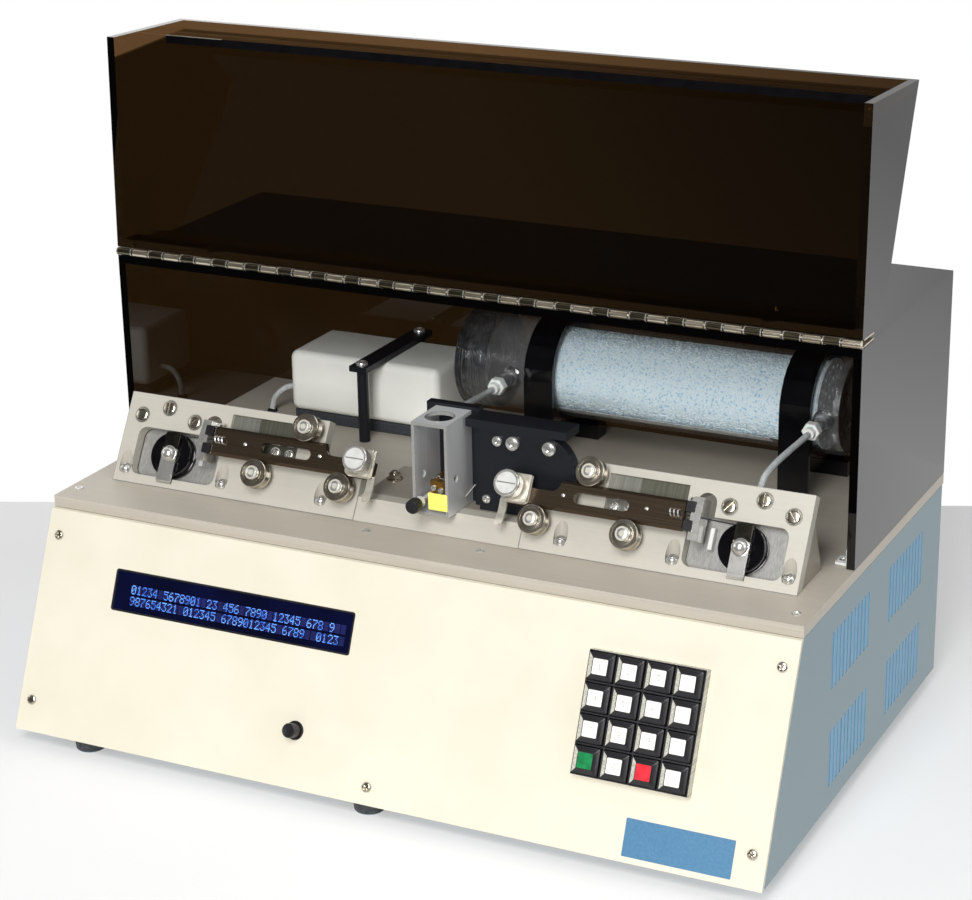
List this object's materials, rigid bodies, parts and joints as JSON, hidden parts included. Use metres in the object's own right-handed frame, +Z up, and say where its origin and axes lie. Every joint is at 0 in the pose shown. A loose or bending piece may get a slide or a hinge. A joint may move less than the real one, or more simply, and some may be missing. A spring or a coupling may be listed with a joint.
{
  "type": "micropipette puller",
  "caption": "Bench instrument that heats and pulls glass capillaries, with leaning puller units, a drying canister, a smoked rear cover and lid, a keypad and a display.",
  "frame": {"origin": "middle of the footprint, on the bench", "axes": "+X to the user's right, -Y to the user, +Z up"},
  "size_m": [0.5334, 0.344, 0.4499],
  "materials": {
    "cream_paint": "smooth semi-gloss cream enamel",
    "blue_paint": "satin blue-grey enamel",
    "brushed_plate": "brushed, clear anodised",
    "machined_aluminium": "machined satin",
    "black_anodised": "black anodised",
    "black_plastic": "gloss black moulding",
    "smoked_acrylic": "smoked brown transparent acrylic sheet",
    "clear_plastic": "clear transparent tube",
    "granules": "pale blue drying granules",
    "bar_steel": "dark bronze, ground",
    "bright_steel": "turned bright steel",
    "brass": "satin",
    "display_glass": "dark blue display window",
    "white_plastic": "off-white moulding",
    "tubing": "translucent tubing",
    "board_green": "green laminate with dark components",
    "transformer": "lacquered laminations and windings"
  },
  "bodies": {
    "cabinet": {"base_pan": "blue_paint", "cabinet_shell": "blue_paint", "front_panel": "cream_paint", "top_plate": "brushed_plate", "display_module": "display_glass", "keypad_frame": "black_plastic", "power_inlet": "black_plastic", "transformer": "transformer", "control_board": "board_green", "pull_solenoid": "transformer", "rear_cover": "smoked_acrylic", "hinge_leaf_cover": "bright_steel", "centre_block": "machined_aluminium", "puller_plate_left": "machined_aluminium", "puller_plate_right": "machined_aluminium", "filament_block": "black_anodised", "heater_jaws": "brass", "humidity_chamber": "machined_aluminium", "canister": "clear_plastic", "desiccant": "granules", "canister_stand_left": "black_plastic", "canister_stand_right": "black_plastic", "outlet_hose": "tubing", "inlet_hose": "tubing", "air_pump": "white_plastic", "pump_bracket": "black_anodised"},
    "lid": {"lid": "smoked_acrylic", "hinge_leaf_lid": "bright_steel"},
    "bar_left": {"puller_bar_left": "bar_steel"},
    "bar_right": {"puller_bar_right": "bar_steel"},
    "plunger": {"solenoid_plunger": "bright_steel"},
    "wheel_left_1": {"v_wheel_left_1": "bright_steel"},
    "wheel_left_2": {"v_wheel_left_2": "bright_steel"},
    "wheel_left_3": {"v_wheel_left_3": "bright_steel"},
    "wheel_right_1": {"v_wheel_right_1": "bright_steel"},
    "wheel_right_2": {"v_wheel_right_2": "bright_steel"},
    "wheel_right_3": {"v_wheel_right_3": "bright_steel"},
    "pulley_left": {"pulley_left": "black_plastic"},
    "pulley_right": {"pulley_right": "black_plastic"},
    "knob_left": {"clamp_knob_left": "bright_steel"},
    "knob_right": {"clamp_knob_right": "bright_steel"},
    "chamber_knob": {"chamber_knob": "black_plastic"},
    "reset_button": {"reset_button": "black_plastic"},
    "key_1_1": {"key_1_1": "black_plastic"},
    "key_1_2": {"key_1_2": "black_plastic"},
    "key_1_3": {"key_1_3": "black_plastic"},
    "key_1_4": {"key_1_4": "black_plastic"},
    "key_2_1": {"key_2_1": "black_plastic"},
    "key_2_2": {"key_2_2": "black_plastic"},
    "key_2_3": {"key_2_3": "black_plastic"},
    "key_2_4": {"key_2_4": "black_plastic"},
    "key_3_1": {"key_3_1": "black_plastic"},
    "key_3_2": {"key_3_2": "black_plastic"},
    "key_3_3": {"key_3_3": "black_plastic"},
    "key_3_4": {"key_3_4": "black_plastic"},
    "key_4_1": {"key_4_1": "black_plastic"},
    "key_4_2": {"key_4_2": "black_plastic"},
    "key_4_3": {"key_4_3": "black_plastic"},
    "key_4_4": {"key_4_4": "black_plastic"},
    "power_switch": {"power_switch": "black_plastic"}
  },
  "joints": [
    {"name": "lid_hinge", "type": "hinge", "parent": "cabinet", "child": "lid", "pos_m": [0, -0.01765, 0.30415], "axis": [1, 0, 0], "range_deg": [0, 181.74]},
    {"name": "bar_left_slide", "type": "slide", "parent": "cabinet", "child": "bar_left", "axis": [1, 0, 0], "range_m": [0, 0.026]},
    {"name": "bar_right_slide", "type": "slide", "parent": "cabinet", "child": "bar_right", "axis": [1, 0, 0], "range_m": [-0.026, 0]},
    {"name": "plunger_slide", "type": "slide", "parent": "cabinet", "child": "plunger", "axis": [0, 0, 1], "range_m": [0, 0.026]},
    {"name": "wheel_left_1_spin", "type": "hinge", "parent": "cabinet", "child": "wheel_left_1", "pos_m": [-0.1028, -0.04965, 0.2089], "axis": [0, -0.8616, 0.5075], "range_deg": [0, 186.71]},
    {"name": "wheel_left_2_spin", "type": "hinge", "parent": "cabinet", "child": "wheel_left_2", "pos_m": [-0.0703, -0.06772, 0.17822], "axis": [0, -0.8616, 0.5075], "range_deg": [-186.71, 0]},
    {"name": "wheel_left_3_spin", "type": "hinge", "parent": "cabinet", "child": "wheel_left_3", "pos_m": [-0.1336, -0.06772, 0.17822], "axis": [0, -0.8616, 0.5075], "range_deg": [-186.71, 0]},
    {"name": "wheel_right_1_spin", "type": "hinge", "parent": "cabinet", "child": "wheel_right_1", "pos_m": [0.1028, -0.04965, 0.2089], "axis": [0, -0.8616, 0.5075], "range_deg": [-186.71, 0]},
    {"name": "wheel_right_2_spin", "type": "hinge", "parent": "cabinet", "child": "wheel_right_2", "pos_m": [0.0703, -0.06772, 0.17822], "axis": [0, -0.8616, 0.5075], "range_deg": [0, 186.71]},
    {"name": "wheel_right_3_spin", "type": "hinge", "parent": "cabinet", "child": "wheel_right_3", "pos_m": [0.1336, -0.06772, 0.17822], "axis": [0, -0.8616, 0.5075], "range_deg": [0, 186.71]},
    {"name": "pulley_left_spin", "type": "hinge", "parent": "cabinet", "child": "pulley_left", "pos_m": [-0.2068, -0.05403, 0.17585], "axis": [0, -0.8616, 0.5075], "range_deg": [-110.85, 0]},
    {"name": "pulley_right_spin", "type": "hinge", "parent": "cabinet", "child": "pulley_right", "pos_m": [0.2068, -0.05403, 0.17585], "axis": [0, -0.8616, 0.5075], "range_deg": [0, 110.85]},
    {"name": "knob_left_turn", "type": "hinge", "parent": "bar_left", "child": "knob_left", "pos_m": [-0.0545, -0.06427, 0.19766], "axis": [0, -0.8616, 0.5075], "range_deg": [0, 360]},
    {"name": "knob_right_turn", "type": "hinge", "parent": "bar_right", "child": "knob_right", "pos_m": [0.0545, -0.06427, 0.19766], "axis": [0, -0.8616, 0.5075], "range_deg": [0, 360]},
    {"name": "chamber_knob_turn", "type": "hinge", "parent": "cabinet", "child": "chamber_knob", "pos_m": [-0.0066, -0.0727, 0.1811], "axis": [0, 1, 0], "range_deg": [-180, 180]},
    {"name": "reset_press", "type": "slide", "parent": "cabinet", "child": "reset_button", "axis": [0, 0.9188, -0.3947], "range_m": [0, 0.003], "stiffness_N_per_m": 300, "springref_m": -0.001},
    {"name": "key_1_1_press", "type": "slide", "parent": "cabinet", "child": "key_1_1", "axis": [0, 0.9188, -0.3947], "range_m": [0, 0.003], "stiffness_N_per_m": 300, "springref_m": -0.001},
    {"name": "key_1_2_press", "type": "slide", "parent": "cabinet", "child": "key_1_2", "axis": [0, 0.9188, -0.3947], "range_m": [0, 0.003], "stiffness_N_per_m": 300, "springref_m": -0.001},
    {"name": "key_1_3_press", "type": "slide", "parent": "cabinet", "child": "key_1_3", "axis": [0, 0.9188, -0.3947], "range_m": [0, 0.003], "stiffness_N_per_m": 300, "springref_m": -0.001},
    {"name": "key_1_4_press", "type": "slide", "parent": "cabinet", "child": "key_1_4", "axis": [0, 0.9188, -0.3947], "range_m": [0, 0.003], "stiffness_N_per_m": 300, "springref_m": -0.001},
    {"name": "key_2_1_press", "type": "slide", "parent": "cabinet", "child": "key_2_1", "axis": [0, 0.9188, -0.3947], "range_m": [0, 0.003], "stiffness_N_per_m": 300, "springref_m": -0.001},
    {"name": "key_2_2_press", "type": "slide", "parent": "cabinet", "child": "key_2_2", "axis": [0, 0.9188, -0.3947], "range_m": [0, 0.003], "stiffness_N_per_m": 300, "springref_m": -0.001},
    {"name": "key_2_3_press", "type": "slide", "parent": "cabinet", "child": "key_2_3", "axis": [0, 0.9188, -0.3947], "range_m": [0, 0.003], "stiffness_N_per_m": 300, "springref_m": -0.001},
    {"name": "key_2_4_press", "type": "slide", "parent": "cabinet", "child": "key_2_4", "axis": [0, 0.9188, -0.3947], "range_m": [0, 0.003], "stiffness_N_per_m": 300, "springref_m": -0.001},
    {"name": "key_3_1_press", "type": "slide", "parent": "cabinet", "child": "key_3_1", "axis": [0, 0.9188, -0.3947], "range_m": [0, 0.003], "stiffness_N_per_m": 300, "springref_m": -0.001},
    {"name": "key_3_2_press", "type": "slide", "parent": "cabinet", "child": "key_3_2", "axis": [0, 0.9188, -0.3947], "range_m": [0, 0.003], "stiffness_N_per_m": 300, "springref_m": -0.001},
    {"name": "key_3_3_press", "type": "slide", "parent": "cabinet", "child": "key_3_3", "axis": [0, 0.9188, -0.3947], "range_m": [0, 0.003], "stiffness_N_per_m": 300, "springref_m": -0.001},
    {"name": "key_3_4_press", "type": "slide", "parent": "cabinet", "child": "key_3_4", "axis": [0, 0.9188, -0.3947], "range_m": [0, 0.003], "stiffness_N_per_m": 300, "springref_m": -0.001},
    {"name": "key_4_1_press", "type": "slide", "parent": "cabinet", "child": "key_4_1", "axis": [0, 0.9188, -0.3947], "range_m": [0, 0.003], "stiffness_N_per_m": 300, "springref_m": -0.001},
    {"name": "key_4_2_press", "type": "slide", "parent": "cabinet", "child": "key_4_2", "axis": [0, 0.9188, -0.3947], "range_m": [0, 0.003], "stiffness_N_per_m": 300, "springref_m": -0.001},
    {"name": "key_4_3_press", "type": "slide", "parent": "cabinet", "child": "key_4_3", "axis": [0, 0.9188, -0.3947], "range_m": [0, 0.003], "stiffness_N_per_m": 300, "springref_m": -0.001},
    {"name": "key_4_4_press", "type": "slide", "parent": "cabinet", "child": "key_4_4", "axis": [0, 0.9188, -0.3947], "range_m": [0, 0.003], "stiffness_N_per_m": 300, "springref_m": -0.001},
    {"name": "power_rocker", "type": "hinge", "parent": "cabinet", "child": "power_switch", "pos_m": [-0.1565, 0.1708, 0.06], "axis": [-1, 0, 0], "range_deg": [0, 9]}
  ],
  "couplings": [
    {"joint": "bar_right_slide", "follows": "bar_left_slide", "ratio": -1},
    {"joint": "plunger_slide", "follows": "bar_left_slide", "ratio": 1},
    {"joint": "wheel_left_1_spin", "follows": "bar_left_slide", "rad_per_m": 125},
    {"joint": "wheel_left_2_spin", "follows": "bar_left_slide", "rad_per_m": -125},
    {"joint": "wheel_left_3_spin", "follows": "bar_left_slide", "rad_per_m": -125},
    {"joint": "wheel_right_1_spin", "follows": "bar_left_slide", "rad_per_m": -125},
    {"joint": "wheel_right_2_spin", "follows": "bar_left_slide", "rad_per_m": 125},
    {"joint": "wheel_right_3_spin", "follows": "bar_left_slide", "rad_per_m": 125},
    {"joint": "pulley_left_spin", "follows": "bar_left_slide", "rad_per_m": -74.074},
    {"joint": "pulley_right_spin", "follows": "bar_left_slide", "rad_per_m": 74.074}
  ]
}
